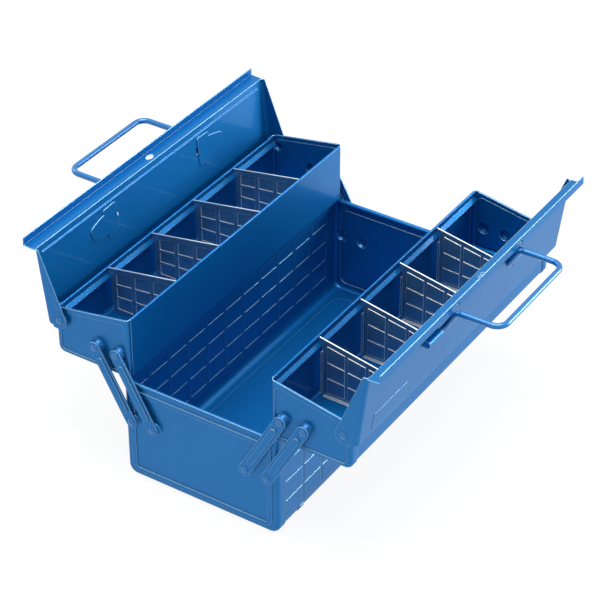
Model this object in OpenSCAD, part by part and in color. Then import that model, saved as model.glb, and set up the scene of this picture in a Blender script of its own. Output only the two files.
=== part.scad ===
// Two-way cantilever tool box, shown fully open.
// A pressed sheet-steel box carries two trays on riveted parallelogram links.
// Each tray has its own half lid, hinged on rivets at the tray's outer top,
// and each half lid has a round-bar bail handle.
//
// X runs along the box, Y across it and Z up.
// The origin is on the ground, below the middle of the main box.
// A tray or a lid is drawn for the rear side (+Y) and mirrored for the front.
// Inside a tray, u runs outward from its inner wall and v up from its underside.
// Inside a lid, p runs along its panel from the hinge to the ridge, and q is
// square to the panel, outward.

/* [Main box] */
// Length over the end panels
box_l = 472; // [360:2:600]
// Width over the long sides
box_w = 220; // [210:1:240]
// Height to the rolled rim
box_h = 143; // [130:1:170]
// Thickness of all painted sheet
sheet = 1.0; // [0.8:0.1:1.2]
// Corner radius of the end panels, seen from the end
box_corner_r = 13; // [10:0.5:18]
// Outer bend radius between an end panel and its flange
box_bend_r = 5.5; // [4:0.5:7]
// Length of the end panels' flanges
box_flange = 15; // [11:0.5:22]
// Radius of the wired rim of the end panels
rim_r = 2.8; // [2:0.1:3.2]
// How far the wired rim stands out of the end panel
rim_out = 1.0; // [0.5:0.1:2]
// Width of the raised frame on the end panels
frame_w = 6; // [4:0.5:8]
// Inset of the raised frame from the panel's outline
frame_inset = 9; // [8:0.5:14]
// Height of the raised frame
frame_h = 1.2; // [0.6:0.1:1.6]
// Width of the turned-in hem of the long walls
hem_w = 9; // [5:0.5:12]
// Height of the pressed panel in the floor
floor_h = 1.2; // [0.6:0.1:1.6]
// Distance of the pressed floor panel from the walls
floor_inset = 20; // [16:1:30]
// Distance between the pressed cells of the long walls, along the box
wall_pitch = 40.2; // [34:0.2:44]
// Distance between the rows of those cells
wall_rise = 29; // [24:0.5:30]
// Width of the grooves between the cells
wall_groove = 4.5; // [3:0.5:8]
// How far the cells are pressed outward
wall_press = 0.6; // [0.3:0.1:0.8]
// Distance of the corner feet from the end panels
stand_in = 51; // [30:1:70]
// Width of the corner feet
stand_w = 9; // [6:0.5:12]

/* [Trays] */
// How much shorter than the main box a tray is, at each end
tray_in = 1.0; // [0.6:0.1:1.6]
// How far the open tray stands over the main box
tray_over = 11; // [9:0.5:13]
// Height of the tray's inner wall
tray_h_in = 86; // [80:1:96]
// Height of the tray's outer wall
tray_h_out = 66; // [62:1:74]
// Corner radius of the tray's end panels, outer bottom corner
tray_corner_r = 10; // [8:0.5:14]
// Outer bend radius of the tray's end panels
tray_bend_r = 5; // [3:0.5:5.5]
// Corner radius of the tray's end panels, inner bottom corner
tray_inner_r = 6; // [6:0.5:8]
// Length of the tray end panels' flanges
tray_flange = 12; // [9:0.5:16]
// Border round the sunk field of the tray's end panels
field_inset = 7; // [6.5:0.5:10]
// Corner radius of the sunk field
field_r = 6; // [4:0.5:8]
// Depth of the sunk field
field_h = 1.0; // [0.5:0.1:1.2]
// Height of the vertical strip of the folded tray edge
fold_h = 8; // [6:0.5:9]
// Width of the turned-in hem along the tray end panels' tops
end_hem = 5; // [3:0.5:6]
// Width of the sloping shoulder below that strip
shoulder_w = 4; // [3:0.5:5]
// Gap between the two trays when they are closed
centre_gap = 1.0; // [0.6:0.1:3]
// Radius of the small dimples along the tray's outer wall
dimple_r = 1.3; // [1:0.1:2]

/* [Dividers] */
// Distance between the four dividers of a tray
divider_pitch = 90; // [60:1:92]
// Thickness of a divider
divider_t = 0.8; // [0.6:0.1:1.0]
// Width of a divider's side flanges
divider_flange = 5; // [3:0.5:8]
// Height of the pressed cells of a divider
cell_h = 0.7; // [0.4:0.1:1.0]
// Depth of a divider's hemmed edge below the tray's top
hem_drop = 2; // [1.8:0.1:6]

/* [Links] */
// Height of the lower pivots above the ground
pivot_z = 85.5; // [78:0.5:92]
// Distance of the outer lower pivots from the main box's long side
pivot_in = 12.5; // [12:0.5:14]
// Distance between the two pivots of a side
pivot_gap = 31; // [28:0.5:33]
// Height of the upper pivots above the tray's underside
pivot_v = 33; // [30:0.5:36]
// Width of a link
link_w = 16; // [13:0.5:18]
// Thickness of a link
link_t = 2; // [1.6:0.1:2.5]
// Width of the pressed rib on a link
rib_w = 8; // [6:0.5:9]
// Height of the pressed rib
rib_h = 1.5; // [1:0.1:2]

/* [Rivets] */
// Radius of a rivet's shank
rivet_r = 2.5; // [2:0.1:3]
// Radius of a rivet's domed head
head_r = 4.8; // [4:0.1:6]
// Height of a rivet's domed head
head_h = 2.6; // [2:0.1:3]
// Top radius of the pressed boss behind a link
boss_r = 7; // [6:0.1:7.5]
// Top radius of the boss behind a lid hinge
hinge_boss_r = 5.5; // [5:0.1:6.5]
// Running clearance of a link or ear on its rivet, on the radius
run_clear = 0.05; // [0.02:0.01:0.08]
// Clearance of the inner links on their upper rivets, on the radius
free_clear = 0.3; // [0.2:0.05:0.5]

/* [Lids] */
// Lean of the open lid's panel, outward from upright
lid_lean = 7.1; // [4:0.1:10]
// Hinge rivet's distance from the tray's outer wall
hinge_in = 9.1; // [8:0.1:12]
// Hinge rivet's depth below the tray's outer top
hinge_drop = 15.5; // [14:0.5:17]
// Distance of the skirt's outer face from the hinge axis
skirt_out = 10.8; // [10.6:0.1:13]
// Width of the ridge strip that stands up when the lid is closed
ridge_w = 16; // [12:0.5:18]
// Width of the lip that is turned over from the ridge strip
lip_w = 10.6; // [8:0.2:12]
// Outer bend radius between the lid's panel, ears and skirt
lid_bend_r = 5.5; // [4:0.5:6]
// Radius of an ear round its hinge rivet
ear_r = 10.6; // [9:0.1:12]
// Depth of an ear at the ridge
ear_tip = 6.5; // [6.5:0.5:9]
// Length of the padlock hole in the ridge strip
lock_l = 14; // [11:0.5:18]
// Width of the padlock hole
lock_w = 8; // [7:0.5:9]
// Length of the windows in the front lid's lip, above the handle's legs
window_l = 16; // [12:0.5:20]
// Distance of the bead inside the lid from the ridge
bead_in = 9.6; // [9:0.1:11]
// Length of the plain raised field on the front lid
badge_l = 74; // [50:1:90]
// Width of the plain raised field
badge_w = 24; // [16:1:28]
// Distance of the plain raised field from the lid's near end
badge_in = 29.6; // [24:0.1:40]

/* [Handles] */
// Radius of the handle's bar
bar_r = 3.75; // [3.25:0.05:4]
// Half the distance between the handle's legs
leg_x = 75; // [60:1:90]
// Reach of the open handle's grip beyond the tray's outer wall
grip_out = 96.1; // [90:0.1:100]
// Height of the open handle's legs above its pivot
leg_rise = 28.45; // [27.5:0.05:29]
// Distance of the handle's pivot from the lid's ridge, along the panel
pivot_back = 31.2; // [28:0.1:34]
// Distance of the handle's pivot above the panel's outer face
pivot_q = 4.8; // [4.5:0.1:5.6]
// Length of a handle's foot beyond its leg
foot_l = 36; // [32:1:50]
// Bend radius of the handle's bar at the grip
grip_bend_r = 14; // [10:0.5:18]
// Wall of the pressed pocket round a foot
pocket_t = 1.0; // [0.8:0.1:1.4]

/* [Hidden] */
$fn = 48;

front = -1;
rear = 1;
near = -1;
far = 1;
paint = "steelblue";
plating = "silver";

// Named clearances
seat = 0.3;
nest = 0.05;
rivet_fit = 0.02;
stop_gap = 0.4;
lip_gap = 0.4;
lid_gap = 1.32;
side_gap = 0.1;
pass_gap = 0.2;
bend_lap = 0.3;
bend_ease = 0.03;

// Main box, derived
half_l = box_l / 2;
half_w = box_w / 2;
pivot_y = half_w - pivot_in;
inner_y = pivot_y - pivot_gap;
trough_w = box_w - 2 * (sheet + nest);
trough_r = box_corner_r - sheet - nest;

// Tray, derived
tray_w = half_w - centre_gap / 2 - side_gap;
tray_y = half_w - tray_over;
tray_z = box_h + seat;
tray_x = half_l - tray_in;
link_reach = (tray_y - centre_gap / 2) / 2;
slope = atan((tray_h_in - tray_h_out) / tray_w);
upper_u = pivot_y + link_reach - tray_y;
upper_us = [upper_u, upper_u - pivot_gap];
wall_gap = 0.8;
fold_r = sheet + wall_gap / 2;
fold_u = 2 * fold_r;
outer_u = tray_w - sheet - nest;
floor_v = 2 * sheet + nest;

// Links, derived: every boss ends in one plane, and all links run in the next
link_dz = tray_z + pivot_v - pivot_z;
link_l = sqrt(link_reach * link_reach + link_dz * link_dz);
link_angle = atan(link_reach / link_dz);
boss_flare = 2;
boss_h = 3.5;
boss_x = half_l + boss_h;
link_x = boss_x + seat;
head_x = link_x + link_t + seat;

// Lid, derived: p runs from the hinge to the ridge, q outward from the hinge
hinge_u = tray_w - hinge_in;
hinge_v = tray_h_out - hinge_drop;
lid_rise = (hinge_drop + hinge_in * tan(slope)) * cos(slope) + lid_gap + sheet;
ear_x = link_x - pass_gap - sheet;
lid_x = ear_x + sheet;
corner_p = lid_bend_r + 0.5;
skirt_q = (hinge_in + stop_gap + skirt_out * sin(lid_lean)) / cos(lid_lean);
mid_q = lid_rise - sheet / 2;
ridge_p = (hinge_u + mid_q * sin(slope) - lip_w - lip_gap) / cos(slope);

// Handle, derived: its pivot in the open tray's u and v
pivot_p = ridge_p - pivot_back;
axis_q = lid_rise + pivot_q;
foot_u = hinge_u + pivot_p * sin(lid_lean) + axis_q * cos(lid_lean);
foot_v = hinge_v + pivot_p * cos(lid_lean) - axis_q * sin(lid_lean);
leg_angle = 60;
grip_u = tray_w + grip_out;
leg_v = foot_v + leg_rise;
elbow_u = foot_u + leg_rise / tan(leg_angle);
elbow_r = 12;
foot_bend_r = 8;

// Height of a tray end panel's sloping top at u
function top_v(u) = tray_h_in - u * tan(slope);

// ------------------------------------------------------------ placing

// Outlines in Y and Z, drawn out along X, centred on x
module along_x(length, x = 0) {
    translate([x, 0, 0]) rotate([90, 0, 90]) linear_extrude(height = length, center = true) children();
}

// Puts what is drawn for the rear side on a side
module on_side(side) {
    mirror([0, side == front ? 1 : 0, 0]) children();
}

// Puts what is drawn for the far end at an end
module at_end(end) {
    mirror([end == near ? 1 : 0, 0, 0]) children();
}

// A face in the plane x: its own X runs along Y, its Y up and its Z along +X
module end_face(x) {
    translate([x, 0, 0]) rotate([90, 0, 90]) children();
}

// A tray's u and v at the open tray of the rear side
module tray_place() {
    translate([0, tray_y, tray_z]) children();
}

// A lid's X, p and q at the open lid of the rear tray
module lid_place() {
    tray_place() translate([0, hinge_u, hinge_v]) rotate([90 - lid_lean, 0, 0]) mirror([0, 0, 1]) children();
}

// ------------------------------------------------------------ outlines

// Rectangle from corner to corner
module span2(a, b) {
    translate(a) square(b - a);
}

// Box from corner to corner
module span3(a, b) {
    translate(a) cube(b - a);
}

// Outline with a round corner at each point of a convex, anticlockwise list
module rounded(points, r) {
    n = len(points);
    for (p = points) translate(p) circle(r);
    polygon([for (i = [0 : n - 1], e = [0, 1])
        let (a = points[(i + n - 1 + e) % n], b = points[(i + e) % n], d = (b - a) / norm(b - a))
        points[i] + r * [d[1], -d[0]]]);
}

// Rectangle with round corners
module round_rect(a, b, r) {
    rounded([a + [r, r], [b[0] - r, a[1] + r], b - [r, r], [a[0] + r, b[1] - r]], r);
}

// Quarter of a ring below and left of the corner at [0, 0]
module quarter_ring(r, t) {
    intersection() {
        translate([-r, -r]) difference() {
            circle(r);
            circle(r - t);
        }
        span2([-r, -r], [0, 0]);
    }
}

// Section of a bent edge: the outer faces meet at [0, 0], the flange hangs down
module bent_edge(bend_r, flange) {
    quarter_ring(bend_r, sheet);
    if (flange > bend_r) span2([-sheet, -flange], [0, -bend_r]);
}

// ------------------------------------------------------------ pressed sheet

// A section run straight for a length, up to the origin, outward to +X
module run(length) {
    rotate([90, 0, 0]) linear_extrude(height = length) children();
}

// A section turned through a quarter about its own Y axis
module turn() {
    rotate_extrude(angle = 90) children();
}

// A drawn panel, open at its top: face at Z = 0, bent back along three edges.
// h, r, flange and corner hold the left and the right side's height, corner
// radius, flange and the flange of the corner itself.
module pan(w, h, r, bend_r, flange, bottom_flange, corner) {
    translate([0, 0, -sheet]) linear_extrude(height = sheet) polygon([
        [bend_r, r[0]], [r[0], r[0]], [r[0], bend_r],
        [w - r[1], bend_r], [w - r[1], r[1]], [w - bend_r, r[1]],
        [w - bend_r, h[1]], [bend_r, h[0]]]);
    translate([0, r[0]]) rotate(180) run(h[0] - r[0]) bent_edge(bend_r, flange[0]);
    translate([w - r[1], 0]) rotate(270) run(w - r[0] - r[1]) bent_edge(bend_r, bottom_flange);
    translate([w, h[1]]) run(h[1] - r[1]) bent_edge(bend_r, flange[1]);
    for (i = [0, 1]) translate([i == 0 ? r[0] : w - r[1], r[i]]) rotate(180 + 90 * i) turn() {
        span2([0, -sheet], [r[i] - bend_r, 0]);
        translate([r[i], 0]) bent_edge(bend_r, corner[i]);
    }
}

// Solid of a pressed boss along +Z, rooted at a depth below the face
module boss_solid(height, r, root) {
    rotate_extrude() polygon([
        [0, -root], [r + boss_flare, -root], [r + boss_flare, 0], [r, height], [0, height]]);
}

// Hollow and rivet hole of the same boss
module boss_hollow(height, r, root) {
    rotate_extrude() {
        polygon([[0, -root], [r + boss_flare - sheet, -root], [r + boss_flare - sheet, -sheet / 2],
            [r - sheet, height - sheet], [0, height - sheet]]);
        span2([0, 0], [rivet_r + rivet_fit, height + 1]);
    }
}

// A rivet along +X, its tail below a boss and its domed head outside head_x
module rivet(x_boss, x_head) {
    dome_r = (head_r * head_r + head_h * head_h) / (2 * head_h);
    grip = x_head - x_boss + sheet;
    tail_t = 1.2;
    translate([x_boss - sheet, 0, 0]) rotate([0, 90, 0]) rotate_extrude() {
        span2([0, -tail_t], [rivet_r + 1.4, 0]);
        span2([0, 0], [rivet_r, grip]);
        intersection() {
            translate([0, grip + head_h - dome_r]) circle(dome_r);
            span2([0, grip], [head_r, grip + head_h]);
        }
    }
}

// ------------------------------------------------------------ main box

// Outlines of a long wall's pressed cells in X and height, kept inset from their
// edges. The rear wall's cells stand a little higher and nearer to the near end.
module wall_cells(side, inset) {
    first = side == front ? 17 : 27.5;
    shift = side == front ? 0 : -7;
    edge = wall_groove / 2 + inset;
    limit = [half_l - box_flange - 2 - inset, box_h - hem_w - 3 - inset];
    least = 8;
    n = ceil(half_l / wall_pitch);
    for (i = [-n : n], j = [0 : 3])
        let (x = i * wall_pitch + shift, z = first + j * wall_rise)
        let (a = [max(x - wall_pitch / 2 + edge, -limit[0]), z + inset])
        let (b = [min(x + wall_pitch / 2 - edge, limit[0]), min(z + wall_rise - 2 * edge + inset, limit[1])])
        if (min(b - a) > least) span2(a, b);
}

module box_trough() {
    r = trough_r;
    x = half_l - box_bend_r;
    z = sheet + nest;
    top = box_h - z;
    field = [x - floor_inset, half_w - floor_inset];
    field_corner = 14;
    face = trough_w / 2;
    color(paint) translate([0, 0, z]) difference() {
        union() {
            for (side = [front, rear]) on_side(side) translate([0, face + wall_press, -z]) rotate([90, 0, 0])
                linear_extrude(height = wall_press + sheet / 2) wall_cells(side, 0);
            for (side = [front, rear], end = [near, far]) on_side(side)
                along_x(stand_w, end * (half_l - stand_in)) {
                    translate([face + sheet, -sheet]) mirror([0, 1]) quarter_ring(r + sheet, 1.5 * sheet);
                    span2([field[1], -sheet], [face - r, sheet / 2]);
                }
            along_x(2 * x) {
                span2([-trough_w / 2 + r, 0], [trough_w / 2 - r, sheet]);
                for (s = [0, 1]) mirror([s, 0]) {
                    translate([trough_w / 2, 0]) mirror([0, 1]) quarter_ring(r, sheet);
                    span2([trough_w / 2 - sheet, r], [trough_w / 2, top - sheet]);
                    translate([trough_w / 2 - sheet, top - sheet]) circle(sheet);
                    span2([trough_w / 2 - 2 * sheet, top - hem_w], [trough_w / 2 - sheet, top - sheet]);
                }
            }
            linear_extrude(height = sheet + floor_h) round_rect(-field, field, field_corner);
        }
        translate([0, 0, -1]) linear_extrude(height = 1 + floor_h)
            round_rect(sheet * [1, 1] - field, field - sheet * [1, 1], field_corner - sheet);
        for (side = [front, rear]) on_side(side) translate([0, face - sheet + wall_press, -z])
            rotate([90, 0, 0]) linear_extrude(height = wall_press + 0.1) wall_cells(side, 0.8 * sheet);
    }
}

module box_end(end) {
    frame_a = [frame_inset - half_w, frame_inset];
    frame_b = [half_w - frame_inset, box_h - 2 * rim_r - frame_inset / 2];
    frame_corner = 4;
    rib = frame_w * [1, 1];
    color(paint) at_end(end) end_face(half_l) difference() {
        union() {
            translate([-half_w, 0]) pan(box_w, [box_h, box_h], box_corner_r * [1, 1], box_bend_r,
                box_flange * [1, 1], box_flange, box_flange * [1, 1]);
            translate([0, box_h - rim_r, rim_out - rim_r]) rotate([0, 90, 0])
                cylinder(r = rim_r, h = box_w - 2 * box_bend_r, center = true);
            linear_extrude(height = frame_h) difference() {
                round_rect(frame_a, frame_b, frame_w + frame_corner);
                round_rect(frame_a + rib, frame_b - rib, frame_corner);
            }
            for (y = [pivot_y, inner_y], s = [-1, 1]) translate([s * y, pivot_z, 0])
                boss_solid(boss_h, boss_r, sheet);
        }
        translate([0, 0, -sheet]) linear_extrude(height = frame_h) difference() {
            round_rect(frame_a + sheet * [1, 1], frame_b - sheet * [1, 1], frame_w + frame_corner - sheet);
            round_rect(frame_a + rib - sheet * [1, 1], frame_b - rib + sheet * [1, 1], frame_corner + sheet);
        }
        translate([-half_w, box_h, -box_flange]) cube([box_w, 5, 2 * box_flange]);
        for (y = [pivot_y, inner_y], s = [-1, 1]) translate([s * y, pivot_z, 0])
            boss_hollow(boss_h, boss_r, sheet);
    }
}

module box_rivets() {
    color(paint) for (end = [near, far], side = [front, rear], y = [pivot_y, inner_y])
        at_end(end) on_side(side) translate([0, y, pivot_z]) rivet(boss_x, head_x);
}

// ------------------------------------------------------------ trays

// Wall of a tray, its outer face at u = 0, with its folded edge and shoulder
module tray_wall(h, foot) {
    v = h - fold_h;
    drop = sheet * sqrt(2);
    span2([0, foot], [sheet, h - fold_r]);
    translate([fold_r, h - fold_r]) intersection() {
        difference() {
            circle(fold_r);
            circle(fold_r - sheet);
        }
        span2([-fold_r, 0], [fold_r, fold_r]);
    }
    span2([fold_u - sheet, v], [fold_u, h - fold_r]);
    polygon([[fold_u - sheet, v], [fold_u - sheet, v + sheet - drop],
        [fold_u + shoulder_w, v - shoulder_w - drop], [fold_u + shoulder_w, v - shoulder_w], [fold_u, v]]);
}

module tray_trough(side) {
    r = tray_corner_r - sheet - nest;
    r_in = tray_inner_r - sheet - nest;
    v = sheet + nest;
    dimple_v = 15.6;
    dimples = floor((tray_x - tray_flange - 2 * dimple_r) / wall_pitch - 0.5);
    color(paint) on_side(side) tray_place() difference() {
        along_x(2 * (tray_x - tray_bend_r)) {
            tray_wall(tray_h_in, v + r_in);
            translate([0, v]) mirror([1, 0]) mirror([0, 1]) quarter_ring(r_in, sheet);
            span2([r_in, v], [outer_u - r, v + sheet]);
            translate([outer_u, v]) mirror([0, 1]) quarter_ring(r, sheet);
            translate([outer_u, 0]) mirror([1, 0]) tray_wall(tray_h_out, v + r);
        }
        for (i = [-dimples - 1 : dimples]) translate([(i + 0.5) * wall_pitch, outer_u + 1, dimple_v])
            rotate([90, 0, 0]) cylinder(r = dimple_r, h = 1 + sheet / 2);
    }
}

// Outline of the sunk field of a tray's end panel
module tray_field(inset, r) {
    d = inset + r;
    top = top_v(0) - d / cos(slope);
    rounded([[d, d], [tray_w - d, d], [tray_w - d, top - (tray_w - d) * tan(slope)],
        [d, top - d * tan(slope)]], r);
}

// Puts pressed bosses at a tray end panel's three pivots
module at_pivots() {
    for (u = upper_us) translate([u, pivot_v]) children(0);
    translate([hinge_u, hinge_v]) children(1);
}

module tray_end(side, end) {
    height = boss_x - tray_x;
    hinge_height = ear_x - seat - tray_x;
    root = field_h + sheet;
    inner = sheet + nest;
    bend_in = inner + tray_bend_r;
    bend_out = tray_w - tray_bend_r;
    color(paint) on_side(side) tray_place() at_end(end) end_face(tray_x) difference() {
        union() {
            translate([inner, 0]) pan(tray_w - inner, [top_v(inner), tray_h_out - sheet],
                [tray_inner_r, tray_corner_r], tray_bend_r, [tray_bend_r, tray_flange],
                tray_flange, [tray_bend_r, tray_flange]);
            span3([inner, tray_inner_r, -tray_flange],
                [inner + sheet, tray_h_in - fold_h - 2 * shoulder_w, -tray_bend_r]);
            translate([0, 0, -2 * sheet]) linear_extrude(height = 2 * sheet) polygon([
                [bend_in, top_v(bend_in)], [bend_in, top_v(bend_in) - end_hem],
                [bend_out, top_v(bend_out) - end_hem], [bend_out, top_v(bend_out)]]);
            translate([0, 0, -root]) linear_extrude(height = root)
                tray_field(field_inset - sheet, field_r + sheet);
            at_pivots() {
                boss_solid(height, boss_r, root);
                boss_solid(hinge_height, hinge_boss_r, root);
            }
        }
        linear_extrude(height = 2 * field_h, center = true) difference() {
            tray_field(field_inset, field_r);
            at_pivots() {
                circle(boss_r + boss_flare);
                circle(hinge_boss_r + boss_flare);
            }
        }
        at_pivots() {
            boss_hollow(height, boss_r, root);
            boss_hollow(hinge_height, hinge_boss_r, root);
        }
        translate([0, 0, -tray_flange - 1]) linear_extrude(height = tray_flange + 2) polygon([
            [-1, top_v(-1)], [tray_w + 1, top_v(tray_w + 1)],
            [tray_w + 1, tray_h_in + 1], [-1, tray_h_in + 1]]);
    }
}

module link_rivets(side) {
    color(paint) on_side(side) tray_place() for (end = [near, far], u = upper_us)
        at_end(end) translate([0, u, pivot_v]) rivet(boss_x, head_x);
}

module hinge_rivets(side) {
    color(paint) on_side(side) tray_place() for (end = [near, far])
        at_end(end) translate([0, hinge_u, hinge_v]) rivet(ear_x - seat, lid_x + seat);
}

// ------------------------------------------------------------ dividers

// A divider's raised cells, three in a row, their rows fanned out under the hem.
// The outline is kept inset from each cell's edge.
module divider_cells(left, right, low, inset) {
    rim = 2;
    foot = low + 4;
    head = hem_drop + 6;
    column = (right - left) / 3;
    for (i = [0 : 2], j = [0 : 2])
        let (a = left + i * column + rim + inset, b = left + (i + 1) * column - rim - inset)
        polygon([for (c = [[a, j, 1], [b, j, 1], [b, j + 1, -1], [a, j + 1, -1]])
            [c[0], foot + (top_v(c[0]) - head - foot) * c[1] / 3 + c[2] * (rim / 2 + inset)]]);
}

module divider(side, index) {
    x = (index - 2.5) * divider_pitch;
    gap = 0.2;
    tip = 0.4;
    hem_r = 1.1;
    left = fold_u + shoulder_w + gap;
    right = outer_u - left;
    low = floor_v + gap;
    notch_in = tray_h_in - fold_h + gap * sqrt(2) - tip;
    notch_out = tray_h_out - fold_h + gap * sqrt(2) - tip;
    tip_in = fold_u + tip;
    tip_out = outer_u - fold_u - tip;
    in_hem = [tip_in, top_v(tip_in) - hem_drop];
    out_hem = [tip_out, top_v(tip_out) - hem_drop];
    ledge = shoulder_w + gap - tip;
    tab_l = 12;
    cell_a = left + divider_flange;
    cell_b = right - divider_flange;
    color(plating) on_side(side) tray_place() translate([x, 0, 0]) mirror([side == front ? 1 : 0, 0, 0])
        rotate([90, 0, 90]) difference() {
            union() {
                linear_extrude(height = divider_t) polygon([
                    [left, low + 2], [left + 2, low], [right - 2, low], [right, low + 2],
                    [right, notch_out - ledge], [tip_out, notch_out], out_hem,
                    in_hem, [tip_in, notch_in], [left, notch_in - ledge]]);
                translate([in_hem[0], in_hem[1], divider_t / 2]) rotate([0, 90, -slope])
                    cylinder(r = hem_r, h = norm(in_hem - out_hem));
                span3([left, low + 3, 0], [left + divider_t, notch_in - tab_l, divider_flange]);
                span3([right - divider_t, low + 3, 0], [right, notch_out - tab_l, divider_flange]);
                span3([left + 3, low, 0], [right - 3, low + divider_t, divider_flange]);
                translate([0, 0, divider_t / 2]) linear_extrude(height = divider_t / 2 + cell_h)
                    divider_cells(cell_a, cell_b, low, 0);
            }
            translate([0, 0, -1]) linear_extrude(height = 1 + cell_h)
                divider_cells(cell_a, cell_b, low, divider_t);
        }
}

// ------------------------------------------------------------ links

module link(side, end, y, upper_clear) {
    rib_end = 17;
    color(paint) on_side(side) at_end(end) translate([0, y, pivot_z]) end_face(link_x) rotate(-link_angle)
        difference() {
            union() {
                linear_extrude(height = link_t) rounded([[0, 0], [0, link_l]], link_w / 2);
                linear_extrude(height = link_t + rib_h)
                    rounded([[0, rib_end], [0, link_l - rib_end]], rib_w / 2);
            }
            translate([0, 0, -1]) linear_extrude(height = 1 + rib_h)
                rounded([[0, rib_end], [0, link_l - rib_end]], rib_w / 2 - 1.5);
            translate([0, 0, -1]) cylinder(r = rivet_r + run_clear, h = link_t + 2);
            translate([0, link_l, -1]) cylinder(r = rivet_r + upper_clear, h = link_t + 2);
        }
}

module outer_link(side, end) {
    link(side, end, pivot_y, run_clear);
}

module inner_link(side, end) {
    link(side, end, inner_y, free_clear);
}

// ------------------------------------------------------------ lids

// Outline of an ear in p and q
module ear_outline() {
    tip = [ridge_p, lid_rise - ear_tip];
    tangent = atan2(tip[1], tip[0]) - acos(ear_r / norm(tip));
    low_p = skirt_out + (skirt_q + 1) * tan(slope);
    difference() {
        union() {
            circle(ear_r);
            polygon([tip, [ridge_p, lid_rise - lid_bend_r], [corner_p - skirt_out, lid_rise - lid_bend_r],
                [corner_p - skirt_out, skirt_q - seat], [-skirt_out, skirt_q - seat], [-low_p, -1],
                [0, -1], ear_r * [cos(tangent), sin(tangent)]]);
        }
        circle(rivet_r + run_clear);
    }
}

// Ridge strip and lip in the strip's own frame, their mid-lines meeting at [0, 0]
module ridge_section() {
    span2([-sheet / 2, -ridge_w - 0.4 * sheet], [sheet / 2, 0]);
    span2([0, -sheet / 2], [lip_w, sheet / 2]);
    circle(sheet / 2);
}

// The strip's frame in the lid's p and q
module ridge_place() {
    translate([0, ridge_p + ridge_w * sin(slope), mid_q + ridge_w * cos(slope)])
        rotate([-slope, 0, 0]) children();
}

// Section across the pocket round a handle's foot
module pocket_section(r) {
    span2([pivot_p - r, lid_rise - sheet], [pivot_p + r, axis_q]);
    translate([pivot_p, axis_q]) circle(r);
}

// Outline of the plain raised field on the front lid, kept inset from its edge
module badge_outline(inset) {
    a = [badge_in - lid_x, -2];
    b = a + [badge_l, badge_w];
    round_rect(a + inset * [1, 1], b - inset * [1, 1], 3 - inset);
}

module lid(side) {
    h = ridge_p + sheet / 2 + skirt_out;
    pocket_x = leg_x + foot_bend_r + 1;
    pocket_l = foot_l - foot_bend_r;
    bore = bar_r + run_clear;
    skirt = lid_rise - skirt_q;
    bead_p = ridge_p - bead_in;
    bead_l = 2 * (lid_x - 12);
    bead_r = 1.25 * sheet;
    badge_h = 0.4;
    color(paint) on_side(side) lid_place() difference() {
        union() {
            translate([-lid_x, -skirt_out, lid_rise])
                pan(2 * lid_x, [h, h], corner_p * [1, 1], lid_bend_r, lid_bend_r * [1, 1],
                    skirt, skirt * [1, 1]);
            for (end = [near, far]) at_end(end) along_x(sheet, lid_x - sheet / 2) ear_outline();
            ridge_place() along_x(2 * lid_x) ridge_section();
            for (end = [near, far]) at_end(end)
                along_x(pocket_l + pocket_t, pocket_x + (pocket_l + pocket_t) / 2)
                    pocket_section(bore + pocket_t);
            along_x(bead_l) translate([bead_p, lid_rise - 0.05 - bead_r]) circle(bead_r);
            if (side == front) translate([0, 0, lid_rise - sheet / 2])
                linear_extrude(height = sheet / 2 + badge_h) badge_outline(0);
        }
        along_x(bead_l - 2) translate([bead_p, lid_rise]) circle(sheet);
        if (side == front) translate([0, 0, lid_rise - 2 * sheet])
            linear_extrude(height = sheet + badge_h) badge_outline(sheet);
        for (end = [near, far]) at_end(end) {
            along_x(pocket_l + 1, pocket_x - 1 + (pocket_l + 1) / 2) pocket_section(bore);
            if (side == front)
                ridge_place() span3([leg_x - window_l / 2, -3, -6], [leg_x + window_l / 2, 0.6 * lip_w, 3]);
        }
        ridge_place() translate([0, 0, -0.55 * ridge_w]) rotate([90, 0, 0])
            linear_extrude(height = 6, center = true) lens(lock_l, lock_w);
    }
}

// Pointed oval of a length and a width
module lens(l, w) {
    r = (l * l + w * w) / (4 * w);
    intersection_for (s = [-1, 1]) translate([0, s * (r - w / 2)]) circle(r);
}

// Plate inside the lid that keeps a handle's foot in its pocket. Its outline is
// for a foot 36 long and grows with it.
module lid_plate(side, end) {
    plate_t = 1.2;
    size = foot_l / 36;
    color(paint) on_side(side) lid_place() at_end(end)
        translate([leg_x + foot_bend_r, pivot_p, lid_rise - sheet - plate_t])
        linear_extrude(height = plate_t) {
            rounded(size * [[7, -20], [21, -21], [25, 13], [7, 14]], size * 3.5);
            rounded(size * [[21, -11], [35, -13], [48, -9], [50, -1], [35, 3], [23, 5]], size * 6);
        }
}

// ------------------------------------------------------------ handles

// Cylinder from point a to point b
module rod(a, b, r) {
    d = b - a;
    translate(a) rotate([0, acos(d[2] / norm(d)), atan2(d[1], d[0])]) cylinder(r = r, h = norm(d));
}

// Quarter or part turn of a rod at point b, from direction d to direction e
module elbow(b, d, e, bend_r, r) {
    angle = acos(d * e);
    n = cross(d, e) / norm(cross(d, e));
    start = b - d * bend_r * tan(angle / 2);
    x = -cross(n, d);
    translate(start - x * bend_r)
        rotate([atan2(d[2], n[2]), -asin(x[2]), atan2(x[1], x[0])])
        rotate_extrude(angle = angle) translate([bend_r, 0]) circle(r);
}

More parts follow.
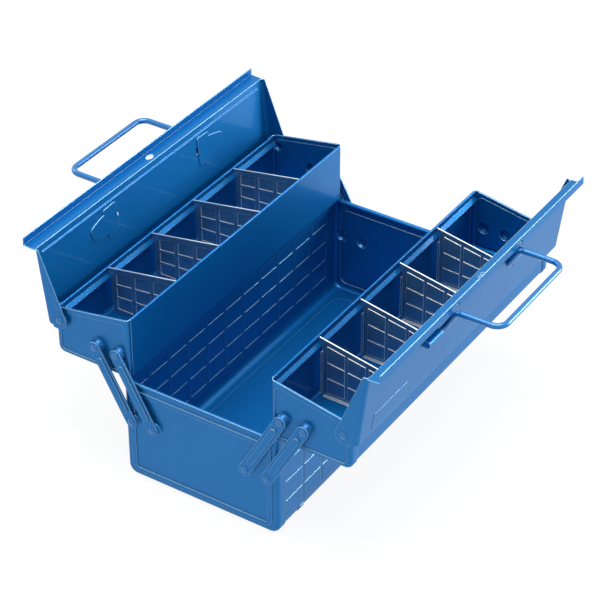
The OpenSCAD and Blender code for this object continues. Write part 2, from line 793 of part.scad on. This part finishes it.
// A bar of radius r along a path, bent at each inner point by the radii given
module bent_bar(path, bends, r) {
    n = len(path);
    dirs = [for (i = [0 : n - 2]) (path[i + 1] - path[i]) / norm(path[i + 1] - path[i])];
    cuts = [for (i = [0 : n - 1]) i == 0 || i == n - 1 ? 0
        : bends[i - 1] * tan(acos(dirs[i - 1] * dirs[i]) / 2)];
    laps = [for (i = [0 : n - 1]) i == 0 || i == n - 1 ? 0 : bend_lap];
    for (i = [0 : n - 2])
        rod(path[i] + dirs[i] * (cuts[i] - laps[i]), path[i + 1] - dirs[i] * (cuts[i + 1] - laps[i + 1]), r);
    for (i = [1 : n - 2]) elbow(path[i], dirs[i - 1], dirs[i], bends[i - 1], r - bend_ease);
}

module handle(side) {
    end_x = leg_x + foot_l;
    half = [[end_x, foot_u, foot_v], [leg_x, foot_u, foot_v],
        [leg_x, elbow_u, leg_v], [leg_x, grip_u, leg_v]];
    path = concat(half, [for (i = [3 : -1 : 0]) [-half[i][0], half[i][1], half[i][2]]]);
    bends = [foot_bend_r, elbow_r, grip_bend_r, grip_bend_r, elbow_r, foot_bend_r];
    color(paint) on_side(side) tray_place() bent_bar(path, bends, bar_r);
}

// ------------------------------------------------------------ pieces

box_trough();
box_end(near);  // box_end_near
box_end(far);  // box_end_far
box_rivets();
tray_trough(front);  // front_tray_trough
tray_end(front, near);  // front_tray_end_near
tray_end(front, far);  // front_tray_end_far
link_rivets(front);  // front_link_rivets
hinge_rivets(front);  // front_hinge_rivets
divider(front, 1);  // front_divider_1
divider(front, 2);  // front_divider_2
divider(front, 3);  // front_divider_3
divider(front, 4);  // front_divider_4
outer_link(front, near);  // front_outer_link_near
outer_link(front, far);  // front_outer_link_far
inner_link(front, near);  // front_inner_link_near
inner_link(front, far);  // front_inner_link_far
lid(front);  // front_lid
lid_plate(front, near);  // front_lid_plate_near
lid_plate(front, far);  // front_lid_plate_far
handle(front);  // front_handle
tray_trough(rear);  // rear_tray_trough
tray_end(rear, near);  // rear_tray_end_near
tray_end(rear, far);  // rear_tray_end_far
link_rivets(rear);  // rear_link_rivets
hinge_rivets(rear);  // rear_hinge_rivets
divider(rear, 1);  // rear_divider_1
divider(rear, 2);  // rear_divider_2
divider(rear, 3);  // rear_divider_3
divider(rear, 4);  // rear_divider_4
outer_link(rear, near);  // rear_outer_link_near
outer_link(rear, far);  // rear_outer_link_far
inner_link(rear, near);  // rear_inner_link_near
inner_link(rear, far);  // rear_inner_link_far
lid(rear);  // rear_lid
lid_plate(rear, near);  // rear_lid_plate_near
lid_plate(rear, far);  // rear_lid_plate_far
handle(rear);  // rear_handle
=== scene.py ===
"""Pressed-steel two-way cantilever tool box, standing fully open on a pale studio floor."""

import bpy
import numpy as np
from mathutils import Matrix, Vector

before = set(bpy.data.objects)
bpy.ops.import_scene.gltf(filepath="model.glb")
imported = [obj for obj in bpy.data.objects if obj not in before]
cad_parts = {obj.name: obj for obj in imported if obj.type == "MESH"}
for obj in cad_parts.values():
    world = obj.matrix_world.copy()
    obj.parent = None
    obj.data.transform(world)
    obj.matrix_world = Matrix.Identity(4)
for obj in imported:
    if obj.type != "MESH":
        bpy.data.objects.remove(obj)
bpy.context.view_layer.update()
bpy.context.scene.view_settings.view_transform = "Standard"


# ---------------------------------------------------------------- camera
# A long lens from the box's near end, to the left and above, looking down
# along the two open trays. Its place was fitted to edges of the photograph.
turn, tilt = np.radians(-57.04), np.radians(35.57)
camera_place = (-1.86425, -1.19593, 1.74228)
sensor_mm, lens_mm = 36.0, 132.318
farthest_seen = 20.0

back = np.array([np.sin(turn) * np.cos(tilt), -np.cos(turn) * np.cos(tilt), np.sin(tilt)])
right = np.array([np.cos(turn), np.sin(turn), 0.0])
camera_pose = np.eye(4)
camera_pose[:3, :3] = np.stack([right, np.cross(back, right), back], axis=1)
camera_pose[:3, 3] = camera_place
camera = bpy.data.objects.new("camera", bpy.data.cameras.new("camera"))
camera.data.sensor_width = sensor_mm
camera.data.lens = lens_mm
camera.data.clip_end = farthest_seen
camera.matrix_world = Matrix(camera_pose.tolist())
bpy.context.scene.collection.objects.link(camera)
bpy.context.scene.camera = camera


# ---------------------------------------------------------------- floor
# A pale sweep, white to the camera and to reflections, with a soft shadow.
# The shader class is made here, where it is first needed.
class Wave:
    """A socket of a node tree that takes part in Python arithmetic on values."""

    def __init__(self, tree, socket=None):
        self.tree = tree
        self.socket = socket

    def node(self, kind, settings=None, out=0, **inputs):
        """Any node by type: its settings first, then values or links of its sockets.

        An input is named, or given as i and its number. An output is a name or a number."""
        made = self.tree.nodes.new(kind)
        for name, value in (settings or {}).items():
            setattr(made, name, value)
        for name, value in inputs.items():
            numbered = name[:1] == "i" and name[1:].isdigit()
            slot = made.inputs[int(name[1:]) if numbered else name]
            if isinstance(value, Wave):
                self.tree.links.new(value.socket, slot)
            else:
                slot.default_value = value
        return Wave(self.tree, made.outputs[out] if len(made.outputs) else None)

    def math(self, operation, a, b):
        """One Math node on two values, either of which may be a number."""
        return self.node("ShaderNodeMath", {"operation": operation}, i0=a, i1=b)

    def __add__(self, other):
        return self.math("ADD", self, other)

    def __mul__(self, other):
        return self.math("MULTIPLY", self, other)

    def __rsub__(self, other):
        return self.math("SUBTRACT", other, self)

    __radd__ = __add__

    def step(self, low, high):
        """0 below low and 1 above high, with a smooth rise between them."""
        smooth = {"interpolation_type": "SMOOTHSTEP"}
        return self.node("ShaderNodeMapRange", smooth, i0=self, i1=low, i2=high)

    def tint(self, first, second):
        """The colour that goes from first to second as this value goes from 0 to 1."""
        return self.node("ShaderNodeMix", {"data_type": "RGBA"}, out=2,
                         i0=self, i6=first, i7=second)


def fresh(name):
    """A new material with an empty node tree, and a Wave on that tree."""
    made = bpy.data.materials.new(name)
    made.use_nodes = True
    made.node_tree.nodes.clear()
    return made, Wave(made.node_tree)


def seen_plainly(wave):
    """1 for what the camera sees directly, in gloss or through glass, else 0."""
    direct, gloss, glass = [
        wave.node("ShaderNodeLightPath", out=ray)
        for ray in ("Is Camera Ray", "Is Glossy Ray", "Is Transmission Ray")]
    return wave.math("MINIMUM", direct + gloss + glass, 1.0)


white = (1, 1, 1, 1)
shadowed_grey = (0.9, 0.9, 0.9, 1)
plain_white_share = 0.90  # of what is seen plainly; the rest takes the shadow
floor_reach, floor_drop = 9.0, 0.0004
floor_corners = [(x * floor_reach, y * floor_reach, -floor_drop)
                 for x, y in ((-1, -1), (1, -1), (1, 1), (-1, 1))]

floor = bpy.data.objects.new("floor", bpy.data.meshes.new("floor"))
floor.data.from_pydata(floor_corners, [], [(0, 1, 2, 3)])
bpy.context.scene.collection.objects.link(floor)
sweep_white, sweep = fresh("sweep_white")
sweep.node("ShaderNodeOutputMaterial", Surface=sweep.node(
    "ShaderNodeMixShader", i0=seen_plainly(sweep) * plain_white_share,
    i1=sweep.node("ShaderNodeBsdfDiffuse", Color=shadowed_grey),
    i2=sweep.node("ShaderNodeEmission", Color=white, Strength=1.0)))
floor.data.materials.append(sweep_white)


# ---------------------------------------------------------------- light
# An even white room with three large soft panels: one above, the strongest low
# beyond the far end on the front side, and a weak one behind the rear tray.
# They light rims and bends, while upright faces mirror the floor.
room_light = 0.72  # on the object; seen plainly, the room is full white
panels = (
    # name, place in metres, width in metres, power in watts
    ("panel_top", (-0.1, -0.1, 2.4), 1.7, 64.0),
    ("panel_far", (2.0, -2.4, 0.80), 1.4, 84.0),
    ("panel_rear", (0.2, 2.4, 1.7), 1.2, 16.0),
)
lit_point = Vector((0.0, 0.0, 0.15))

world = bpy.data.worlds.new("room")
bpy.context.scene.world = world
world.use_nodes = True
world.node_tree.nodes.clear()
room = Wave(world.node_tree)
room.node("ShaderNodeOutputWorld", Surface=room.node(
    "ShaderNodeBackground", Color=white,
    Strength=room_light + seen_plainly(room) * (1.0 - room_light)))
for name, place, size, power in panels:
    lamp = bpy.data.objects.new(name, bpy.data.lights.new(name, "AREA"))
    lamp.data.size = size
    lamp.data.energy = power
    facing = (lit_point - Vector(place)).to_track_quat("-Z", "Y").to_matrix().to_4x4()
    lamp.matrix_world = Matrix.Translation(place) @ facing
    bpy.context.scene.collection.objects.link(lamp)


# ---------------------------------------------------------------- blue enamel
# Metallic stoving enamel on every pressed part, bar and rivet: fine aluminium
# flakes in a deep blue under a satin gloss. A painted highlight lies over bends,
# strongest where they face up, and painted shade lies in the pits beside them.
shading_rays = 8
fold_radius, bar_radius = 0.0011, 0.0003
flake_scale, cloud_scale, peel_scale = 3200.0, 9.0, 260.0  # features per metre
peel_share, peel_height = 0.05, 0.0003
# how far the painted shade reaches into pits and creases
painted_shade_reach = 0.003
deep_blues = (0.0, 0.104, 0.320, 1), (0.0, 0.160, 0.450, 1)
# painted highlight colour over bends
painted_highlight_blue = (0.52, 0.86, 1.0, 1)
# painted shade colour in pits, creases and between parts
painted_shade_blue = (0.0, 0.040, 0.15, 1)


def noise(wave, scale, detail):
    """Noise that stays with its piece, from 0 to 1."""
    spot = wave.node("ShaderNodeTexCoord", out="Object")
    return wave.node("ShaderNodeTexNoise", Vector=spot, Scale=scale, Detail=detail)


def rounded_over(wave, radius):
    """The normal, rounded over edges of this radius, and how far it leans off the face."""
    rounded = wave.node("ShaderNodeBevel", {"samples": shading_rays}, Radius=radius)
    flat = wave.node("ShaderNodeNewGeometry", out="Normal")
    match = wave.node("ShaderNodeVectorMath", {"operation": "DOT_PRODUCT"}, out="Value",
                      i0=rounded, i1=flat)
    return rounded, 1.0 - match


def enamel(name, edge_radius, coat, mirror_tint):
    """Blue enamel with a painted highlight over edges of edge_radius and painted shade in pits,
    under so much clear gloss.
    """
    made, ink = fresh(name)
    flake = noise(ink, flake_scale, 1.0)
    cloud = noise(ink, cloud_scale, 2.0)
    peel = noise(ink, peel_scale, 1.0)
    rounded, lean = rounded_over(ink, edge_radius)
    # painted highlight: the colour lightens over edges, more where they face up, as where light
    # falls on them
    edge_highlight = lean.step(0.01, 0.16)
    top_light_share = ink.node("ShaderNodeSeparateXYZ", out="Z", Vector=rounded).step(0.12, 0.62)
    # painted shade: the colour darkens in pits, creases and where parts meet
    free_of_painted_shade = ink.node(
        "ShaderNodeAmbientOcclusion", {"samples": shading_rays, "only_local": True},
        out="AO", Distance=painted_shade_reach).step(0.38, 0.84)
    gloss = ink.node("ShaderNodeBump", Height=peel, Strength=peel_share,
                     Distance=peel_height, Normal=rounded)
    deep = (flake * 0.6 + cloud * 0.4).tint(*deep_blues)
    highlighted_blue = (edge_highlight * (top_light_share * 0.60 + 0.36)).tint(deep, painted_highlight_blue)
    ink.node("ShaderNodeOutputMaterial", Surface=ink.node("ShaderNodeBsdfPrincipled", **{
        # base colour: painted highlight over edges, painted shade in pits
        "Base Color": free_of_painted_shade.tint(painted_shade_blue, highlighted_blue),
        "Metallic": 0.66,
        "Roughness": flake * 0.10 + 0.38,
        "Specular Tint": mirror_tint,
        "Coat Weight": coat,
        "Coat Roughness": 0.06,
        "Coat IOR": 1.5,
        "Normal": gloss,
    }))
    return made


sheet_enamel = enamel("blue_enamel", fold_radius, coat=0.26, mirror_tint=(0.62, 0.74, 0.84, 1))
bar_enamel = enamel("blue_enamel_bar", bar_radius, coat=0.80, mirror_tint=(0.95, 0.95, 1.0, 1))
for node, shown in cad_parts.items():
    shown.data.materials.clear()
    shown.data.materials.append(bar_enamel if "rivet" in node or "handle" in node else sheet_enamel)


# ---------------------------------------------------------------- plated steel
# The loose dividers are thin zinc-plated sheet, with a painted highlight on the
# rolled hem on top and on other edges. The rest carries a painted reflection of
# the blue walls round it, so that blue is in its colour.
# painted reflection of the blue walls round the dividers
painted_reflection_blues = (0.05, 0.19, 0.36, 1), (0.10, 0.26, 0.44, 1)
# painted highlight colour on the hem and edges
painted_highlight_cream = (0.98, 0.93, 0.84, 1)
grain_scale = 60.0

zinc, leaf = fresh("plated_steel")
grain = noise(leaf, grain_scale, 3.0)
rim, rim_lean = rounded_over(leaf, fold_radius)
# painted highlight: lighter over edges and on faces that point up
rim_highlight = rim_lean.step(0.01, 0.14)
top_highlight = leaf.node("ShaderNodeSeparateXYZ", out="Z", Vector=rim).step(0.25, 0.75) * 0.5
leaf.node("ShaderNodeOutputMaterial", Surface=leaf.node("ShaderNodeBsdfPrincipled", **{
    "Base Color": leaf.math("MAXIMUM", rim_highlight, top_highlight).tint(grain.tint(*painted_reflection_blues), painted_highlight_cream),
    "Metallic": 0.60,
    "Roughness": grain * 0.12 + 0.28,
    "Normal": rim,
}))

for node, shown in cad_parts.items():
    if "divider" in node:
        shown.data.materials[0] = zinc


# ---------------------------------------------------------------- smooth bends
# Bar, rivets and bends have no facets: the press and the die leave them
# round. The triangles are joined, and smooth where they meet at a low angle.
weld_gap = 2e-6
sharp_from = np.radians(38.0)
by_area_only = 100  # the modifier's weight at which large faces rule the normal

joined = bpy.data.node_groups.new("smooth_bends", "GeometryNodeTree")
for way in ("INPUT", "OUTPUT"):
    joined.interface.new_socket("Geometry", in_out=way, socket_type="NodeSocketGeometry")
form = Wave(joined)
welded = form.node("GeometryNodeMergeByDistance",
                   Geometry=form.node("NodeGroupInput"), Distance=weld_gap)
round_faces = form.node("GeometryNodeSetShadeSmooth", {"domain": "FACE"}, i0=welded, i2=True)
low = form.node("FunctionNodeCompare", {"data_type": "FLOAT", "operation": "LESS_THAN"},
                i0=form.node("GeometryNodeInputMeshEdgeAngle"), i1=sharp_from)
round_edges = form.node("GeometryNodeSetShadeSmooth", {"domain": "EDGE"}, i0=round_faces, i2=low)
form.node("NodeGroupOutput", i0=round_edges)
for node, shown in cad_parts.items():
    shown.modifiers.new("smooth_bends", "NODES").node_group = joined
    even = shown.modifiers.new("flat_fields", "WEIGHTED_NORMAL")
    even.weight = by_area_only
    even.keep_sharp = True
